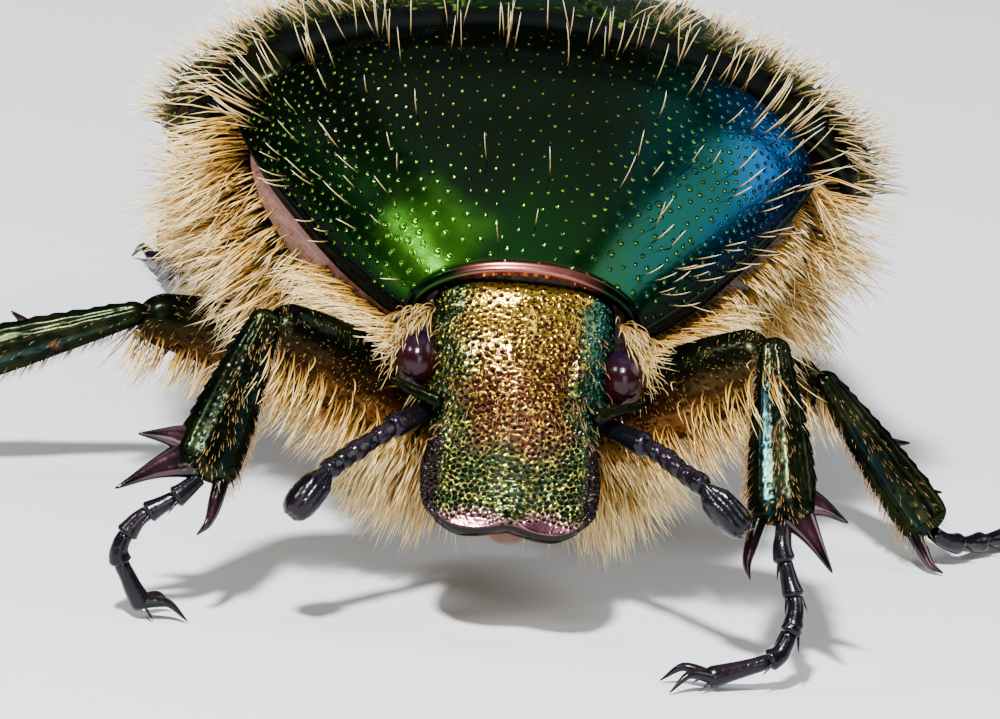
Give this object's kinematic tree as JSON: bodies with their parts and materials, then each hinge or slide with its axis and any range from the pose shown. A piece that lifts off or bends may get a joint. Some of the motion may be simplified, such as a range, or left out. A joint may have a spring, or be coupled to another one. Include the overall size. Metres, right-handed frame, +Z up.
{
  "type": "rose chafer beetle",
  "caption": "Standing rose chafer beetle with domed green wing cases, a shield over the neck, clubbed feelers and toothed, jointed legs.",
  "frame": {"origin": "floor point under the middle of the beetle's box", "axes": "+Z up, the beetle faces -Y, its left side is +X"},
  "size_m": [0.0215, 0.0227, 0.0084],
  "materials": {
    "green_cuticle": "polished metallic green, finely pitted",
    "golden_cuticle": "metallic golden green, coarsely pitted",
    "bronze_leg": "dark bronze green gloss",
    "horn_black": "near-black horn with a violet sheen",
    "eye_garnet": "dark garnet gloss",
    "golden_hair": "pale golden hair over brown skin",
    "mouth_brown": "orange-brown horn"
  },
  "bodies": {
    "root": {"head": "golden_cuticle", "mouthparts": "mouth_brown", "eye_left": "eye_garnet", "eye_right": "eye_garnet", "antenna_left": "horn_black", "antenna_right": "horn_black", "prothorax": "green_cuticle", "thorax": "golden_hair", "abdomen": "bronze_leg", "pygidium": "green_cuticle", "scutellum": "green_cuticle", "wing_case_left": "green_cuticle", "wing_case_right": "green_cuticle", "coxa_front_left": "bronze_leg", "femur_front_left": "bronze_leg", "tibia_front_left": "bronze_leg", "tarsus_front_left": "horn_black", "coxa_front_right": "bronze_leg", "femur_front_right": "bronze_leg", "tibia_front_right": "bronze_leg", "tarsus_front_right": "horn_black", "coxa_middle_left": "bronze_leg", "femur_middle_left": "bronze_leg", "tibia_middle_left": "bronze_leg", "tarsus_middle_left": "horn_black", "coxa_middle_right": "bronze_leg", "femur_middle_right": "bronze_leg", "tibia_middle_right": "bronze_leg", "tarsus_middle_right": "horn_black", "coxa_hind_left": "bronze_leg", "femur_hind_left": "bronze_leg", "tibia_hind_left": "bronze_leg", "tarsus_hind_left": "horn_black", "coxa_hind_right": "bronze_leg", "femur_hind_right": "bronze_leg", "tibia_hind_right": "bronze_leg", "tarsus_hind_right": "horn_black"}
  },
  "joints": []
}
